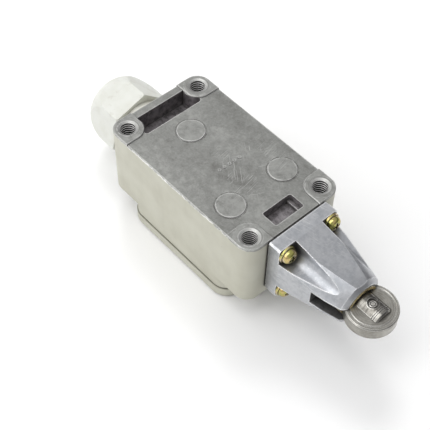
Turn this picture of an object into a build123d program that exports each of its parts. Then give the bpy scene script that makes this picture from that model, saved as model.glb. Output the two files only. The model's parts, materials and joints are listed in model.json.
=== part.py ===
from build123d import *

import os
from math import atan2, cos, degrees, radians, sin

# Limit switch with a roller plunger head, a die-cast housing, a built-in snap switch and a cable gland.
#
# Millimetres. The origin is the centre of the four mounting holes on the rear mounting plane.
# +X points to the roller, +Z points out of the rear face, and the switch rests on its front cover (-Z).

# ---------------------------------------------------------------- driving dimensions

# Housing
HOUSING_LENGTH = 68.6
HOUSING_WIDTH = 40.0
HOUSING_CORNER_R = 5.0
HOUSING_END_X = HOUSING_LENGTH / 2
REAR_FACE_Z = -0.45
REAR_EDGE_CHAMFER = 0.45
CORNER_FRONT_Z = -27.3
CORNER_FRONT_CHAMFER = 0.3
JOINT_Z = -32.5
RIM_INSET = 0.4
FLOOR_Z = -3.0

# Four mounting holes, tapped from the rear
HOLE_X = 29.35
HOLE_Y = 15.1
HOLE_R = 2.6
THREAD_MAJOR_R = 3.0
THREAD_PITCH = 1.0
THREAD_TURNS = 15
THREAD_MOUTH_R = 3.5
THREAD_MOUTH_DEPTH = 0.45

# Corner bosses and cast pads on the rear face
BOSS_INNER_X = 23.8
BOSS_INNER_Y = 9.9
BOSS_INNER_R = 5.2
BOSS_EDGE = 0.25
PAD_R = 4.85
PAD_HEIGHT = 0.25
PAD_EDGE = 0.12
PAD_CENTRES = [(-15.2, 0.0), (16.4, 11.1), (16.4, -11.1)]
PIP_R = 0.6
PIP_HEIGHT = 0.15
PIP_X = 3.6
PIP_SPACING = 2.1
PIP_COUNT = 5

# Pockets in the rear face
GLAND_POCKET_X = (-31.2, -23.5)
GLAND_POCKET_HALF_Y = 12.0
GLAND_POCKET_Z = -7.0
GLAND_POCKET_BOSS_R = 5.4
HEAD_POCKET_X = (25.1, 31.3)
HEAD_POCKET_HALF_Y = 6.0
HEAD_POCKET_Z = -4.0
HEAD_POCKET_STEP = 1.3
HEAD_POCKET_STEP_HEIGHT = 1.2

# Front joint face: a plus shape that leaves the mounting holes clear
LOBE_CENTRE_X = 18.8
LOBE_R = 6.2
HOLE_RELIEF_R = 4.45
ARM_HALF_Y = HOLE_Y - HOLE_RELIEF_R
GLAND_ARM_END_X = 33.0
HEAD_ARM_END_X = 30.0
ARM_CORNER_R = 0.6

# Inside of the housing
CAVITY_HALF_X = 22.5
CAVITY_HALF_Y = 17.5
CAVITY_ARM_HALF_X = 15.5
CAVITY_ARM_HALF_Y = 11.6
CAVITY_FILLET_R = 2.0

# Front cover, its gasket, screws and label
GASKET_THICKNESS = 0.3
GASKET_INSET = 0.45
GASKET_WIDTH = 1.6
COVER_TOP_Z = JOINT_Z - GASKET_THICKNESS
COVER_FACE_Z = -37.3
COVER_WALL = 2.2
COVER_EDGE_R = 1.3
COVER_SCREW_X = 18.9
COVER_SCREW_Y = 15.0
COVER_SCREW_HEAD_R = 2.9
COVER_SCREW_HEAD_H = 2.1
COVER_SCREW_R = 1.6
COVER_SCREW_LENGTH = 11.0
COVER_COUNTERBORE_R = 3.3
COVER_COUNTERBORE_DEPTH = 2.5
COVER_COLUMN_R = 4.4
LABEL_LENGTH = 26.0
LABEL_WIDTH = 19.0
LABEL_THICKNESS = 0.35
LABEL_RECESS = 0.5

# Head: a square flange and a tapered nose on the plunger axis
HEAD_Z = -12.0
HEAD_HALF_Y = 12.3
HEAD_HALF_Z = 11.95
HEAD_GASKET_THICKNESS = 0.5
HEAD_GASKET_INSET = 0.3
HEAD_START_X = HOUSING_END_X + HEAD_GASKET_THICKNESS
NOSE_START_X = 39.4
NOSE_END_X = 63.2
NOSE_TAPER = 9.2
NOSE_CONE_START_R = 14.0
NOSE_CONE_END_X = 61.9
NOSE_CONE_END_R = 8.6
NOSE_TIP_R = 7.1
FLUTE_INNER = 5.6
FLUTE_R = 3.3
FLUTE_SIZE = 9.0
HEAD_SCREW_Y = 9.4
HEAD_SCREW_Z = 9.0
HEAD_SCREW_R = 1.5
HEAD_SCREW_HOLE_R = 1.8
HEAD_SCREW_HEAD_R = 2.6
HEAD_SCREW_HEAD_H = 2.2
HEAD_SCREW_LENGTH = 11.5
HEAD_WASHER_R = 3.1
HEAD_WASHER_THICKNESS = 0.9
HEAD_CHAMBER_R = 7.2
HEAD_SHOULDER_X = 43.5
HEAD_SHOULDER_R = 5.3
BUSH_SEAT_X = 44.4
ROLLER_SLOT_HALF = 2.65
ROLLER_SLOT_X = 51.7
ROLLER_POCKET_R = 8.9

# Plunger, roller and what guides them
TRAVEL = 7.3
PLUNGER_R = 4.4
PLUNGER_TIP_X = 72.0
PLUNGER_TIP_CHAMFER = 0.5
PLUNGER_FLANGE_X = 42.0
PLUNGER_FLANGE_THICKNESS = 1.4
PLUNGER_FLANGE_R = 6.6
PLUNGER_BORE_R = 3.1
PLUNGER_BORE_END_X = 53.0
PLUNGER_GROOVES_X = (69.7, 70.4)
PLUNGER_GROOVE_WIDTH = 0.25
PLUNGER_GROOVE_DEPTH = 0.2
FORK_HALF = 2.55
FORK_BOTTOM_X = 57.1
ROLLER_X = 67.1
ROLLER_R = 8.3
ROLLER_HALF_WIDTH = 2.45
ROLLER_BORE_R = 1.35
ROLLER_EDGE = 0.35
ROLLER_GROOVE = (6.7, 7.3)
ROLLER_GROOVE_DEPTH = 0.2
PIN_R = 1.3
PIN_HALF_LENGTH = 3.95
PIN_GROOVE_R = (0.6, 0.9)
PIN_RECESS_R = 1.8
PIN_RECESS_Z = 3.55
RUNNING_CLEARANCE = 0.05
BUSH_R = 6.3
BUSH_START_X = 46.2
BUSH_END_X = 63.4
BUSH_RECESS_R = 5.4
BUSH_RECESS_X = 61.2
BUSH_SLOT_X = 49.4
WIPER_END_X = 62.6

# Springs and the push rod between plunger and built-in switch
SPRING_CHAMBER_X = 26.0
SPRING_CHAMBER_R = 6.6
ROD_R = 2.0
ROD_START_X = 20.1
ROD_DISC_X = 44.0
ROD_DISC_THICKNESS = 1.2
ROD_DISC_R = 2.9
ROD_RING_X = 42.3
ROD_RING_THICKNESS = 1.0
ROD_RING_BORE_R = 2.4

# Built-in switch
CASE_X = (-13.5, 15.3)
CASE_HALF_Y = 14.5
CASE_FRONT_Z = -21.0
CASE_NOSE_R = 4.4
CASE_NOSE_X = 17.4
CHAMBER_X = (-9.0, 12.0)
CHAMBER_HALF_Y = 8.5
CHAMBER_HALF_Z = 5.0
CASE_COVER_THICKNESS = 1.2
BUTTON_R = 2.4
BUTTON_END_X = 20.0
BUTTON_SHOULDER_X = 8.0
BUTTON_FLANGE_X = (10.4, 11.8)
BUTTON_FLANGE_R = 3.6
BUTTON_STEM_R = 1.2
BUTTON_STEM_X = -1.0
BRIDGE_X = (4.0, 5.0)
BRIDGE_HALF_Y = 7.6
BRIDGE_HALF_Z = 2.2
BRIDGE_BORE_R = 1.4
CONTACT_R = 1.3
CONTACT_Y = 6.0
BRIDGE_CONTACT_HEIGHT = 0.6
BRIDGE_TRAVEL = 1.31
CONTACT_GAP = 0.05
FIXED_CONTACT_HEIGHT = 0.75
STRIP_THICKNESS = 0.8
STRIP_INNER_Y = 4.6
STRIP_HALF_Z = 2.5
RISER_Y = (9.0, 12.5)
TERMINAL_PAD_Y = (8.6, 14.2)
TERMINAL_PAD_LENGTH = 8.0
TERMINAL_SCREW_Y = 11.4
TERMINAL_SCREW_FROM_STRIP = 4.4
TERMINAL_SCREW_R = 1.6
TERMINAL_WASHER_THICKNESS = 0.7
CASE_SCREW_X = -10.9
CASE_SCREW_Y = 11.4
CASE_SCREW_R = 1.5
CASE_SCREW_LENGTH = 21.5
CASE_LEDGE_Z = -6.5
CASE_LEDGE_X = -8.5
GROUND_X = -18.0
GROUND_Y = 8.0
GROUND_BOSS_R = 3.4
GROUND_BOSS_Z = -7.0
GROUND_SCREW_R = 1.7

# Cable gland
GLAND_Z = -20.0
GLAND_THREAD_R = 10.48
GLAND_THREAD_END_X = -26.0
GLAND_WASHER_R = 11.3
GLAND_WASHER_THICKNESS = 1.0
GLAND_COLLAR_R = 10.2
NUT_INNER_X = -43.0
NUT_PRISM_END_X = -49.0
NUT_END_X = -60.5
NUT_CORNER_R = 13.4
NUT_VERTEX_ANGLE = 18.0
NUT_END_R = 6.8
NUT_EDGE = 0.5
NUT_THREAD_R = 9.6
NUT_CAVITY_X = -55.0
NUT_HOLE_R = 5.5
GLAND_BODY_END_X = -52.0
GLAND_BORE_R = 6.8
GROMMET_R = 8.4
GROMMET_X = (-46.0, -54.0)
CABLE_R = 4.5

CORNERS = [(1, 1), (1, -1), (-1, 1), (-1, -1)]

# ---------------------------------------------------------------- helpers


def facing_x(x, z=0.0, y=0.0):
    """Plane facing +X through (x, y, z); its local x is +Y and its local y is +Z."""
    return Plane(origin=(x, y, z), x_dir=(0, 1, 0), z_dir=(1, 0, 0))


def facing_front(z, x=0.0, y=0.0):
    """Plane facing -Z, out of the front, through (x, y, z)."""
    return Plane(origin=(x, y, z), x_dir=(1, 0, 0), z_dir=(0, 0, -1))


def turn(points, axis_z, mode=Mode.ADD):
    """Turn a closed half section, given as (x, radius) points, about the X direction at height axis_z."""
    with BuildSketch(Plane(origin=(0, 0, axis_z), x_dir=(1, 0, 0), z_dir=(0, -1, 0))) as section:
        with BuildLine():
            Polyline(*points, close=True)
        make_face()
    revolve(section.sketch, axis=Axis((0, 0, axis_z), (1, 0, 0)), mode=mode)


def tube(x_range, outer_r, inner_r, axis_z):
    """Add a plain ring or tube along X."""
    low_x, high_x = min(x_range), max(x_range)
    turn([(low_x, inner_r), (high_x, inner_r), (high_x, outer_r), (low_x, outer_r)], axis_z)


def bore(x_range, radius, axis_z):
    """Cut a round hole along X."""
    low_x, high_x = min(x_range), max(x_range)
    turn([(low_x, 0), (high_x, 0), (high_x, radius), (low_x, radius)], axis_z, Mode.SUBTRACT)


def block(x_range, y_range, z_range, mode=Mode.ADD):
    """Add or cut a box given by its ranges."""
    low = (min(x_range), min(y_range), min(z_range))
    size = (abs(x_range[1] - x_range[0]), abs(y_range[1] - y_range[0]), abs(z_range[1] - z_range[0]))
    with Locations(low):
        Box(*size, align=(Align.MIN, Align.MIN, Align.MIN), mode=mode)


def coil(x_range, mean_r, wire_r, turns, axis_z):
    """Add a compression spring along X between two seats."""
    low_x, high_x = min(x_range) + wire_r + 0.1, max(x_range) - wire_r - 0.1
    length = high_x - low_x
    with BuildLine() as path:
        Helix(pitch=length / turns, height=length, radius=mean_r, center=(low_x, 0, axis_z), direction=(1, 0, 0))
    with BuildSketch(Plane(origin=path.line @ 0, z_dir=path.line % 0)) as wire:
        Circle(wire_r)
    sweep(wire.sketch, path=path.line, is_frenet=True)


def front_outline(z, inset=0.0):
    """Outline of the front joint face at height z: four lobes joined by arcs around the mounting holes."""
    lobe_y = HOUSING_WIDTH / 2 - LOBE_R
    towards_hole = atan2(HOLE_Y - lobe_y, HOLE_X - LOBE_CENTRE_X)
    lobe_angle = degrees(towards_hole)
    with BuildSketch(Plane.XY.offset(z)) as outline:
        with BuildLine():
            Line((0, HOUSING_WIDTH / 2), (LOBE_CENTRE_X, HOUSING_WIDTH / 2))
            lobe = CenterArc((LOBE_CENTRE_X, lobe_y), LOBE_R, 90, lobe_angle - 90)
            relief = ThreePointArc(
                lobe @ 1,
                (
                    HOLE_X + HOLE_RELIEF_R * cos(radians(225)),
                    HOLE_Y + HOLE_RELIEF_R * sin(radians(225)),
                ),
                (HOLE_X, ARM_HALF_Y),
            )
            Line(relief @ 1, (GLAND_ARM_END_X - ARM_CORNER_R, ARM_HALF_Y))
            corner = CenterArc(
                (GLAND_ARM_END_X - ARM_CORNER_R, ARM_HALF_Y - ARM_CORNER_R), ARM_CORNER_R, 90, -90
            )
            Line(corner @ 1, (GLAND_ARM_END_X, 0))
            mirror(about=Plane.XZ)
            mirror(about=Plane.YZ)
        make_face()
        with Locations(((GLAND_ARM_END_X + HEAD_ARM_END_X) / 2, 0)):
            Rectangle(GLAND_ARM_END_X - HEAD_ARM_END_X, 2 * ARM_HALF_Y, mode=Mode.SUBTRACT)
        if inset:
            offset(amount=-inset)
    return outline.sketch


def pan_head_screw(head_r, head_h, shank_r, shank_length):
    """Cross-recessed pan head screw along +Z, seated at z = 0 with its shank below."""
    point = 0.4
    with BuildPart() as screw:
        with BuildSketch(Plane.XZ):
            with BuildLine():
                Polyline(
                    (0, head_h),
                    (0, -shank_length),
                    (shank_r - point, -shank_length),
                    (shank_r, -shank_length + point),
                    (shank_r, 0),
                    (head_r, 0),
                    (head_r, head_h),
                    close=True,
                )
            make_face()
        revolve(axis=Axis.Z)
        fillet(screw.edges().filter_by(GeomType.CIRCLE).group_by(Axis.Z)[-1], 0.75 * head_h)
        with BuildSketch(Plane.XY.offset(head_h)):
            Rectangle(1.2 * head_r, 0.32 * head_r)
            Rectangle(0.32 * head_r, 1.2 * head_r)
        extrude(amount=-0.65 * head_h, taper=8, mode=Mode.SUBTRACT)
    return screw.part


def threaded_hole():
    """Cutter for one mounting hole: a through hole with a thread from the rear and a conical mouth."""
    crest = 0.2
    root = 0.15
    flank = (THREAD_PITCH - crest - root) / 2
    profile = [(0, 0.1), (THREAD_MOUTH_R + 0.1, 0.1), (THREAD_MOUTH_R, 0), (HOLE_R, -THREAD_MOUTH_DEPTH)]
    z = -THREAD_MOUTH_DEPTH
    for _ in range(THREAD_TURNS):
        profile.append((HOLE_R, z - crest))
        profile.append((THREAD_MAJOR_R, z - crest - flank))
        profile.append((THREAD_MAJOR_R, z - crest - flank - root))
        z -= THREAD_PITCH
        profile.append((HOLE_R, z))
    profile.append((HOLE_R, CORNER_FRONT_Z - 1))
    profile.append((0, CORNER_FRONT_Z - 1))
    with BuildPart() as cutter:
        with BuildSketch(Plane.XZ):
            with BuildLine():
                Polyline(*profile, close=True)
            make_face()
        revolve(axis=Axis.Z)
    return cutter.part


def terminal_strip(contact_side_x, towards):
    """Bent brass strip of one terminal, from its fixed contact to its pad; towards is +1 or -1 along X."""
    far_x = contact_side_x + towards * STRIP_THICKNESS
    pad_x = contact_side_x + towards * TERMINAL_PAD_LENGTH
    screw_x = contact_side_x + towards * TERMINAL_SCREW_FROM_STRIP
    low_z = HEAD_Z - STRIP_HALF_Z
    pad_z = CASE_FRONT_Z - STRIP_THICKNESS
    with BuildPart() as strip:
        block((contact_side_x, far_x), (STRIP_INNER_Y, RISER_Y[1]), (low_z, HEAD_Z + STRIP_HALF_Z))
        block((contact_side_x, far_x), RISER_Y, (pad_z, low_z))
        block((contact_side_x, pad_x), TERMINAL_PAD_Y, (pad_z, CASE_FRONT_Z))
        with Locations((screw_x, TERMINAL_SCREW_Y, CASE_FRONT_Z)):
            Cylinder(TERMINAL_SCREW_R, 4, mode=Mode.SUBTRACT)
        mirror(about=Plane.XZ)
    return strip.part


def save(part, label):
    """Label a finished piece and write it."""
    part.label = label
    export_step(part, f"parts/{label}.step")


os.makedirs("parts", exist_ok=True)

# ---------------------------------------------------------------- housing

threaded_hole_cutter = threaded_hole()

with BuildPart() as housing:
    with BuildSketch(Plane.XY.offset(CORNER_FRONT_Z)):
        RectangleRounded(HOUSING_LENGTH, HOUSING_WIDTH, HOUSING_CORNER_R)
    extrude(amount=REAR_FACE_Z - CORNER_FRONT_Z)
    chamfer(housing.faces().sort_by(Axis.Z)[-1].edges(), REAR_EDGE_CHAMFER)
    chamfer(housing.faces().sort_by(Axis.Z)[0].edges(), CORNER_FRONT_CHAMFER)

    # Rim that carries the front cover
    extrude(front_outline(JOINT_Z, RIM_INSET), amount=CORNER_FRONT_Z + 1 - JOINT_Z)

    # Corner bosses up to the mounting plane
    with BuildSketch(Plane.XY.offset(2 * REAR_FACE_Z)) as bosses:
        RectangleRounded(HOUSING_LENGTH, HOUSING_WIDTH, HOUSING_CORNER_R)
        Rectangle(2 * BOSS_INNER_X, HOUSING_WIDTH, mode=Mode.SUBTRACT)
        Rectangle(HOUSING_LENGTH, 2 * BOSS_INNER_Y, mode=Mode.SUBTRACT)
        fillet(bosses.vertices().group_by(SortBy.DISTANCE)[0], BOSS_INNER_R)
    extrude(amount=-2 * REAR_FACE_Z)
    chamfer(housing.faces().filter_by(Axis.Z).group_by(Axis.Z)[-1].edges(), BOSS_EDGE)

    # Cast pads and a row of pips on the rear face
    with BuildSketch(Plane.XY.offset(REAR_FACE_Z)):
        with Locations(*PAD_CENTRES):
            Circle(PAD_R)
    extrude(amount=PAD_HEIGHT)
    pads = housing.faces().filter_by(Axis.Z).filter_by(lambda face: abs(face.area - 3.1416 * PAD_R**2) < 0.5)
    chamfer(pads.edges(), PAD_EDGE)
    with BuildSketch(Plane.XY.offset(REAR_FACE_Z)):
        with Locations((PIP_X, 0)):
            with GridLocations(1, PIP_SPACING, 1, PIP_COUNT):
                Circle(PIP_R)
    extrude(amount=PIP_HEIGHT)

    # Pocket beside the gland, with the corner bosses standing into it
    with BuildSketch(Plane.XY.offset(GLAND_POCKET_Z)) as gland_pocket:
        with Locations(((GLAND_POCKET_X[0] + GLAND_POCKET_X[1]) / 2, 0)):
            Rectangle(GLAND_POCKET_X[1] - GLAND_POCKET_X[0], 2 * GLAND_POCKET_HALF_Y)
        with Locations((-HOLE_X, HOLE_Y), (-HOLE_X, -HOLE_Y)):
            Circle(GLAND_POCKET_BOSS_R, mode=Mode.SUBTRACT)
        fillet(gland_pocket.vertices().group_by(Axis.X)[-1], 1.2)
    extrude(amount=-GLAND_POCKET_Z, mode=Mode.SUBTRACT)

    # Small pocket beside the head, with a step at its +Y end
    with BuildSketch(Plane.XY.offset(HEAD_POCKET_Z)) as head_pocket:
        with Locations(((HEAD_POCKET_X[0] + HEAD_POCKET_X[1]) / 2, 0)):
            RectangleRounded(HEAD_POCKET_X[1] - HEAD_POCKET_X[0], 2 * HEAD_POCKET_HALF_Y, 0.8)
    extrude(amount=-HEAD_POCKET_Z, mode=Mode.SUBTRACT)
    block(
        HEAD_POCKET_X,
        (HEAD_POCKET_HALF_Y - HEAD_POCKET_STEP, HEAD_POCKET_HALF_Y),
        (HEAD_POCKET_Z - 0.5, HEAD_POCKET_Z + HEAD_POCKET_STEP_HEIGHT),
    )

    # Switch cavity, open to the front
    with BuildSketch(Plane.XY.offset(JOINT_Z)) as cavity:
        Rectangle(2 * CAVITY_HALF_X, 2 * CAVITY_ARM_HALF_Y)
        Rectangle(2 * CAVITY_ARM_HALF_X, 2 * CAVITY_HALF_Y)
        fillet(cavity.vertices(), CAVITY_FILLET_R)
    extrude(amount=FLOOR_Z - JOINT_Z, mode=Mode.SUBTRACT)
    block((CASE_X[0], CASE_LEDGE_X), (-CASE_HALF_Y, CASE_HALF_Y), (CASE_LEDGE_Z, FLOOR_Z + 0.5))
    with Locations((GROUND_X, GROUND_Y, FLOOR_Z + 0.5)):
        Cylinder(
            GROUND_BOSS_R,
            FLOOR_Z + 0.5 - GROUND_BOSS_Z,
            align=(Align.CENTER, Align.CENTER, Align.MAX),
        )

    # Conduit entry, spring chamber and push rod guide
    bore((-HOUSING_END_X - 1, -CAVITY_HALF_X), GLAND_THREAD_R, GLAND_Z)
    bore((SPRING_CHAMBER_X, HOUSING_END_X + 1), SPRING_CHAMBER_R, HEAD_Z)
    bore((CAVITY_HALF_X - 1, SPRING_CHAMBER_X), ROD_R + RUNNING_CLEARANCE, HEAD_Z)

    # Mounting holes
    with Locations(*[(i * HOLE_X, j * HOLE_Y) for i, j in CORNERS]):
        add(threaded_hole_cutter, mode=Mode.SUBTRACT)

    # Screw holes: cover, head, built-in switch and ground
    with Locations(*[facing_front(JOINT_Z, i * COVER_SCREW_X, j * COVER_SCREW_Y) for i, j in CORNERS]):
        Hole(COVER_SCREW_R, depth=12)
    head_screw_planes = [
        facing_x(HOUSING_END_X, HEAD_Z + j * HEAD_SCREW_Z, i * HEAD_SCREW_Y) for i, j in CORNERS
    ]
    with Locations(*head_screw_planes):
        Hole(HEAD_SCREW_R, depth=8)
    with Locations(*[facing_front(CASE_LEDGE_Z, CASE_SCREW_X, side * CASE_SCREW_Y) for side in (1, -1)]):
        Hole(CASE_SCREW_R, depth=5)
    with Locations(facing_front(GROUND_BOSS_Z, GROUND_X, GROUND_Y)):
        Hole(GROUND_SCREW_R, depth=5.5)

save(housing.part, "housing")

# ---------------------------------------------------------------- front cover

with BuildPart() as front_cover:
    extrude(front_outline(COVER_FACE_Z), amount=COVER_TOP_Z - COVER_FACE_Z)
    fillet(front_cover.faces().sort_by(Axis.Z)[0].edges(), COVER_EDGE_R)
    with BuildSketch(Plane.XY.offset(COVER_FACE_Z + COVER_WALL)):
        Rectangle(2 * CAVITY_HALF_X, 2 * CAVITY_ARM_HALF_Y)
        Rectangle(2 * CAVITY_ARM_HALF_X, 2 * CAVITY_HALF_Y)
        with Locations(*[(i * COVER_SCREW_X, j * COVER_SCREW_Y) for i, j in CORNERS]):
            Circle(COVER_COLUMN_R, mode=Mode.SUBTRACT)
    extrude(amount=COVER_TOP_Z - COVER_FACE_Z - COVER_WALL, mode=Mode.SUBTRACT)
    with BuildSketch(facing_front(COVER_FACE_Z)):
        RectangleRounded(LABEL_LENGTH + 0.6, LABEL_WIDTH + 0.6, 1.3)
    extrude(amount=-LABEL_RECESS, mode=Mode.SUBTRACT)
    with Locations(*[facing_front(COVER_FACE_Z, i * COVER_SCREW_X, j * COVER_SCREW_Y) for i, j in CORNERS]):
        CounterBoreHole(COVER_SCREW_R + 0.2, COVER_COUNTERBORE_R, COVER_COUNTERBORE_DEPTH)

save(front_cover.part, "front_cover")

with BuildPart() as cover_gasket:
    extrude(front_outline(COVER_TOP_Z, GASKET_INSET), amount=GASKET_THICKNESS)
    extrude(
        front_outline(COVER_TOP_Z, GASKET_INSET + GASKET_WIDTH),
        amount=GASKET_THICKNESS,
        mode=Mode.SUBTRACT,
    )

save(cover_gasket.part, "cover_gasket")

cover_screw = pan_head_screw(COVER_SCREW_HEAD_R, COVER_SCREW_HEAD_H, COVER_SCREW_R, COVER_SCREW_LENGTH)
counterbore_z = COVER_FACE_Z + COVER_COUNTERBORE_DEPTH

with BuildPart() as cover_screws:
    with Locations(*[facing_front(counterbore_z, i * COVER_SCREW_X, j * COVER_SCREW_Y) for i, j in CORNERS]):
        add(cover_screw)

save(cover_screws.part, "cover_screws")

with BuildPart() as label_plate:
    with BuildSketch(facing_front(COVER_FACE_Z + LABEL_RECESS)):
        RectangleRounded(LABEL_LENGTH, LABEL_WIDTH, 1.0)
    extrude(amount=LABEL_THICKNESS)

save(label_plate.part, "label_plate")

# ---------------------------------------------------------------- head

with BuildPart() as head_body:
    # Tapered nose with four flat facets
    with BuildSketch(facing_x(NOSE_START_X, HEAD_Z)):
        Rectangle(2 * HEAD_HALF_Y, 2 * HEAD_HALF_Z)
    extrude(amount=NOSE_END_X - NOSE_START_X, taper=NOSE_TAPER)

    # Flutes that clear the four screws
    with BuildSketch(facing_x(NOSE_START_X, HEAD_Z)):
        with GridLocations(2 * FLUTE_INNER + FLUTE_SIZE, 2 * FLUTE_INNER + FLUTE_SIZE, 2, 2):
            RectangleRounded(FLUTE_SIZE, FLUTE_SIZE, FLUTE_R)
    extrude(amount=NOSE_END_X - NOSE_START_X, mode=Mode.SUBTRACT)

    # A cone rounds the corners between the facets
    turn(
        [
            (NOSE_START_X, 0),
            (NOSE_START_X, NOSE_CONE_START_R),
            (NOSE_CONE_END_X, NOSE_CONE_END_R),
            (NOSE_END_X, NOSE_TIP_R),
            (NOSE_END_X, 0),
        ],
        HEAD_Z,
        Mode.INTERSECT,
    )

    # Square flange against the housing
    with BuildSketch(facing_x(HEAD_START_X, HEAD_Z)):
        Rectangle(2 * HEAD_HALF_Y, 2 * HEAD_HALF_Z)
    extrude(amount=NOSE_START_X - HEAD_START_X)
    flange_corners = head_body.edges().filter_by(Axis.X).filter_by_position(Axis.X, 36, 38)
    chamfer(flange_corners, 0.5)

    # Plunger bores and the slot for the roller
    bore((HEAD_START_X, HEAD_SHOULDER_X), HEAD_CHAMBER_R, HEAD_Z)
    bore((HEAD_SHOULDER_X, BUSH_SEAT_X), HEAD_SHOULDER_R, HEAD_Z)
    bore((BUSH_SEAT_X, NOSE_END_X), BUSH_R, HEAD_Z)
    slot_z = (HEAD_Z - ROLLER_SLOT_HALF, HEAD_Z + ROLLER_SLOT_HALF)
    block((ROLLER_SLOT_X, NOSE_END_X), (-HEAD_HALF_Y, HEAD_HALF_Y), slot_z, Mode.SUBTRACT)
    with Locations((ROLLER_X - TRAVEL, 0, HEAD_Z)):
        Cylinder(ROLLER_POCKET_R, 2 * ROLLER_SLOT_HALF, mode=Mode.SUBTRACT)
    with Locations(
        *[facing_x(NOSE_START_X, HEAD_Z + j * HEAD_SCREW_Z, i * HEAD_SCREW_Y) for i, j in CORNERS]
    ):
        Hole(HEAD_SCREW_HOLE_R, depth=NOSE_START_X - HEAD_START_X)

save(head_body.part, "head_body")

with BuildPart() as head_gasket:
    with BuildSketch(facing_x(HOUSING_END_X, HEAD_Z)):
        RectangleRounded(2 * (HEAD_HALF_Y - HEAD_GASKET_INSET), 2 * (HEAD_HALF_Z - HEAD_GASKET_INSET), 1.0)
        Circle(HEAD_CHAMBER_R, mode=Mode.SUBTRACT)
        with GridLocations(2 * HEAD_SCREW_Y, 2 * HEAD_SCREW_Z, 2, 2):
            Circle(HEAD_SCREW_HOLE_R, mode=Mode.SUBTRACT)
    extrude(amount=HEAD_GASKET_THICKNESS)

save(head_gasket.part, "head_gasket")

head_screw = pan_head_screw(HEAD_SCREW_HEAD_R, HEAD_SCREW_HEAD_H, HEAD_SCREW_R, HEAD_SCREW_LENGTH)
head_screw_seat_x = NOSE_START_X + HEAD_WASHER_THICKNESS

with BuildPart() as head_screws:
    with Locations(
        *[
            facing_x(head_screw_seat_x, HEAD_Z + j * HEAD_SCREW_Z, i * HEAD_SCREW_Y)
            for i, j in CORNERS
        ]
    ):
        add(head_screw)

save(head_screws.part, "head_screws")

with BuildPart() as head_screw_washers:
    with BuildSketch(facing_x(NOSE_START_X, HEAD_Z)):
        with GridLocations(2 * HEAD_SCREW_Y, 2 * HEAD_SCREW_Z, 2, 2):
            Circle(HEAD_WASHER_R)
            Circle(HEAD_SCREW_HOLE_R, mode=Mode.SUBTRACT)
    extrude(amount=HEAD_WASHER_THICKNESS)
    rims = head_screw_washers.edges().filter_by(GeomType.CIRCLE).filter_by(
        lambda edge: edge.radius > HEAD_SCREW_HOLE_R + 0.1
    )
    chamfer(rims, 0.15)

save(head_screw_washers.part, "head_screw_washers")

# ---------------------------------------------------------------- plunger and roller

with BuildPart() as plunger:
    flange_end_x = PLUNGER_FLANGE_X + PLUNGER_FLANGE_THICKNESS
    profile = [
        (PLUNGER_FLANGE_X, PLUNGER_BORE_R),
        (PLUNGER_FLANGE_X, PLUNGER_FLANGE_R),
        (flange_end_x, PLUNGER_FLANGE_R),
        (flange_end_x, PLUNGER_R),
    ]
    for groove_x in PLUNGER_GROOVES_X:
        profile.append((groove_x, PLUNGER_R))
        profile.append((groove_x, PLUNGER_R - PLUNGER_GROOVE_DEPTH))
        profile.append((groove_x + PLUNGER_GROOVE_WIDTH, PLUNGER_R - PLUNGER_GROOVE_DEPTH))
        profile.append((groove_x + PLUNGER_GROOVE_WIDTH, PLUNGER_R))
    profile.append((PLUNGER_TIP_X - PLUNGER_TIP_CHAMFER, PLUNGER_R))
    profile.append((PLUNGER_TIP_X, PLUNGER_R - PLUNGER_TIP_CHAMFER))
    profile.append((PLUNGER_TIP_X, 0))
    profile.append((PLUNGER_BORE_END_X, 0))
    profile.append((PLUNGER_BORE_END_X, PLUNGER_BORE_R))
    turn(profile, HEAD_Z)
    fork_z = (HEAD_Z - FORK_HALF, HEAD_Z + FORK_HALF)
    block((FORK_BOTTOM_X, PLUNGER_TIP_X), (-PLUNGER_R, PLUNGER_R), fork_z, Mode.SUBTRACT)
    with Locations((ROLLER_X, 0, HEAD_Z)):
        Cylinder(PIN_R, 2 * PLUNGER_R, mode=Mode.SUBTRACT)
    for side in (1, -1):
        with Locations((ROLLER_X, 0, HEAD_Z + side * (PIN_RECESS_Z + 1))):
            Cylinder(PIN_RECESS_R, 2, mode=Mode.SUBTRACT)

save(plunger.part, "plunger")

with BuildPart() as roller_pin:
    with Locations((ROLLER_X, 0, HEAD_Z)):
        Cylinder(PIN_R, 2 * PIN_HALF_LENGTH)
    chamfer(roller_pin.edges().filter_by(GeomType.CIRCLE), 0.2)
    for side in (1, -1):
        with BuildSketch(Plane.XY.offset(HEAD_Z + side * PIN_HALF_LENGTH)) as staking_groove:
            with Locations((ROLLER_X, 0)):
                Circle(PIN_GROOVE_R[1])
                Circle(PIN_GROOVE_R[0], mode=Mode.SUBTRACT)
        extrude(staking_groove.sketch, amount=0.4, both=True, mode=Mode.SUBTRACT)

save(roller_pin.part, "roller_pin")

with BuildPart() as roller:
    with BuildSketch(Plane(origin=(ROLLER_X, 0, HEAD_Z), x_dir=(1, 0, 0), z_dir=(0, -1, 0))) as roller_section:
        with BuildLine():
            Polyline(
                (ROLLER_BORE_R, 0),
                (ROLLER_BORE_R, ROLLER_HALF_WIDTH),
                (ROLLER_GROOVE[0], ROLLER_HALF_WIDTH),
                (ROLLER_GROOVE[0] + 0.2, ROLLER_HALF_WIDTH - ROLLER_GROOVE_DEPTH),
                (ROLLER_GROOVE[1] - 0.2, ROLLER_HALF_WIDTH - ROLLER_GROOVE_DEPTH),
                (ROLLER_GROOVE[1], ROLLER_HALF_WIDTH),
                (ROLLER_R - ROLLER_EDGE, ROLLER_HALF_WIDTH),
                (ROLLER_R, ROLLER_HALF_WIDTH - ROLLER_EDGE),
                (ROLLER_R, 0),
                close=True,
            )
        make_face()
        mirror(about=Plane.XZ)
    revolve(roller_section.sketch, axis=Axis((ROLLER_X, 0, HEAD_Z), (0, 0, 1)))

save(roller.part, "roller")

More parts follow.
